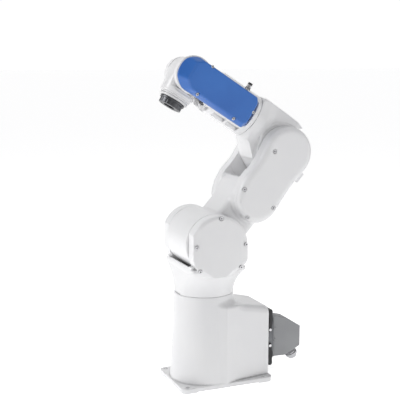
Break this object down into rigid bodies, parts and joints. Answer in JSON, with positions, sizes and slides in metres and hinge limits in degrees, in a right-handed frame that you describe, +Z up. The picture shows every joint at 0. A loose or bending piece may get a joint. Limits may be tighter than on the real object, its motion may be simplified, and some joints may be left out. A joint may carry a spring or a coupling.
{
  "type": "six-axis robot arm",
  "caption": "Six-axis articulated robot arm: cast base with rear cable connector, forked shoulder and upper arm, forearm with side cover, wrist and round tool flange.",
  "frame": {"origin": "first axis (J1) where it meets the mounting plane, at the mouth of the cable bore in the foot plate", "axes": "+Z up along J1, +X forward away from the rear connector, +Y to the arm's left, the side with the forearm cover"},
  "size_m": [0.4158, 0.223, 0.8857],
  "materials": {
    "white_paint": "smooth semi-gloss powder coat",
    "wrist_paint": "smooth semi-gloss powder coat",
    "blue_plastic": "smooth satin-gloss moulding",
    "hood_grey": "fine satin powder coat on die casting",
    "dark_metal": "matt dark die casting",
    "black_lever": "matt black",
    "chrome": "bright nickel plate",
    "screw_steel": "bright zinc",
    "flange_dark": "dark machined steel",
    "ring_metal": "light satin",
    "machined": "turned and ground",
    "bearing_steel": "ground",
    "motor_black": "black anodised",
    "belt_rubber": "matt",
    "seal_rubber": "matt",
    "pulley_alu": "machined",
    "black_plastic": "moulded"
  },
  "bodies": {
    "base": {"base_casting": "white_paint", "j1_motor": "motor_black", "j1_reducer": "machined", "j1_bearing_outer": "bearing_steel", "j1_bearing_balls": "bearing_steel", "j1_seal": "seal_rubber", "connector_base": "dark_metal", "connector_screws": "screw_steel", "connector_hood": "hood_grey", "latch_pins": "screw_steel", "cable_gland": "chrome", "gland_cap": "chrome"},
    "upper_latch": {"upper_latch": "black_lever"},
    "lower_latch": {"lower_latch": "black_lever"},
    "turret": {"turret_casting": "white_paint", "j1_bearing_inner": "bearing_steel", "left_shoulder_cover": "white_paint", "right_shoulder_cover": "white_paint", "shoulder_cover_screws": "screw_steel", "j2_motor": "motor_black", "j2_reducer": "machined", "j2_support_bearing": "bearing_steel"},
    "upper_arm": {"upper_arm_casting": "white_paint", "j2_output_flange": "machined", "j2_trunnion": "machined", "left_arm_cover": "white_paint", "right_arm_cover": "white_paint", "arm_cover_screws": "screw_steel", "j3_motor": "motor_black", "j3_motor_pulley": "pulley_alu", "j3_belt": "belt_rubber", "j3_input_pulley": "pulley_alu", "j3_reducer": "machined", "j3_support_bearing": "bearing_steel", "arm_cable_boss": "white_paint"},
    "elbow": {"elbow_housing": "white_paint", "j3_output_flange": "machined", "j3_trunnion": "machined", "j4_motor": "motor_black", "j4_reducer": "machined", "j4_bearing_outer": "bearing_steel"},
    "forearm": {"forearm_casting": "white_paint", "j4_bearing_inner": "bearing_steel", "forearm_cover": "blue_plastic", "forearm_cover_screws": "screw_steel", "air_fitting_body": "chrome", "air_fitting_sleeve": "black_plastic", "j5_motor": "motor_black", "j5_motor_pulley": "pulley_alu", "j5_belt": "belt_rubber", "j5_input_pulley": "pulley_alu", "j5_reducer": "machined", "j5_support_bearing": "bearing_steel"},
    "wrist": {"wrist_housing": "wrist_paint", "j5_trunnion": "machined", "j6_motor": "motor_black", "j6_reducer": "machined", "wrist_ring": "ring_metal", "flange_seal": "seal_rubber"},
    "tool": {"tool_flange": "flange_dark"}
  },
  "joints": [
    {"name": "j1", "type": "hinge", "parent": "base", "child": "turret", "pos_m": [0, 0, 0], "axis": [0, 0, 1], "range_deg": [-170, 170]},
    {"name": "j2", "type": "hinge", "parent": "turret", "child": "upper_arm", "pos_m": [0, 0, 0.395], "axis": [0, 1, 0], "range_deg": [-38, 130]},
    {"name": "j3", "type": "hinge", "parent": "upper_arm", "child": "elbow", "pos_m": [-0.20843, 0, 0.62447], "axis": [0, -1, 0], "range_deg": [-40, 170]},
    {"name": "j4", "type": "hinge", "parent": "elbow", "child": "forearm", "pos_m": [-0.23094, 0, 0.65993], "axis": [0.8443, 0, 0.5358], "range_deg": [-190, 190]},
    {"name": "j5", "type": "hinge", "parent": "forearm", "child": "wrist", "pos_m": [0.046, 0, 0.83568], "axis": [0, 1, 0], "range_deg": [-205, 28]},
    {"name": "j6", "type": "hinge", "parent": "wrist", "child": "tool", "pos_m": [0.046, 0, 0.83568], "axis": [0.5358, 0, -0.8443], "range_deg": [-360, 360]},
    {"name": "upper_latch_hinge", "type": "hinge", "parent": "base", "child": "upper_latch", "pos_m": [-0.19, 0, 0.126], "axis": [0, -1, 0], "range_deg": [0, 28]},
    {"name": "lower_latch_hinge", "type": "hinge", "parent": "base", "child": "lower_latch", "pos_m": [-0.19, 0, 0.08], "axis": [0, 1, 0], "range_deg": [0, 28]}
  ]
}
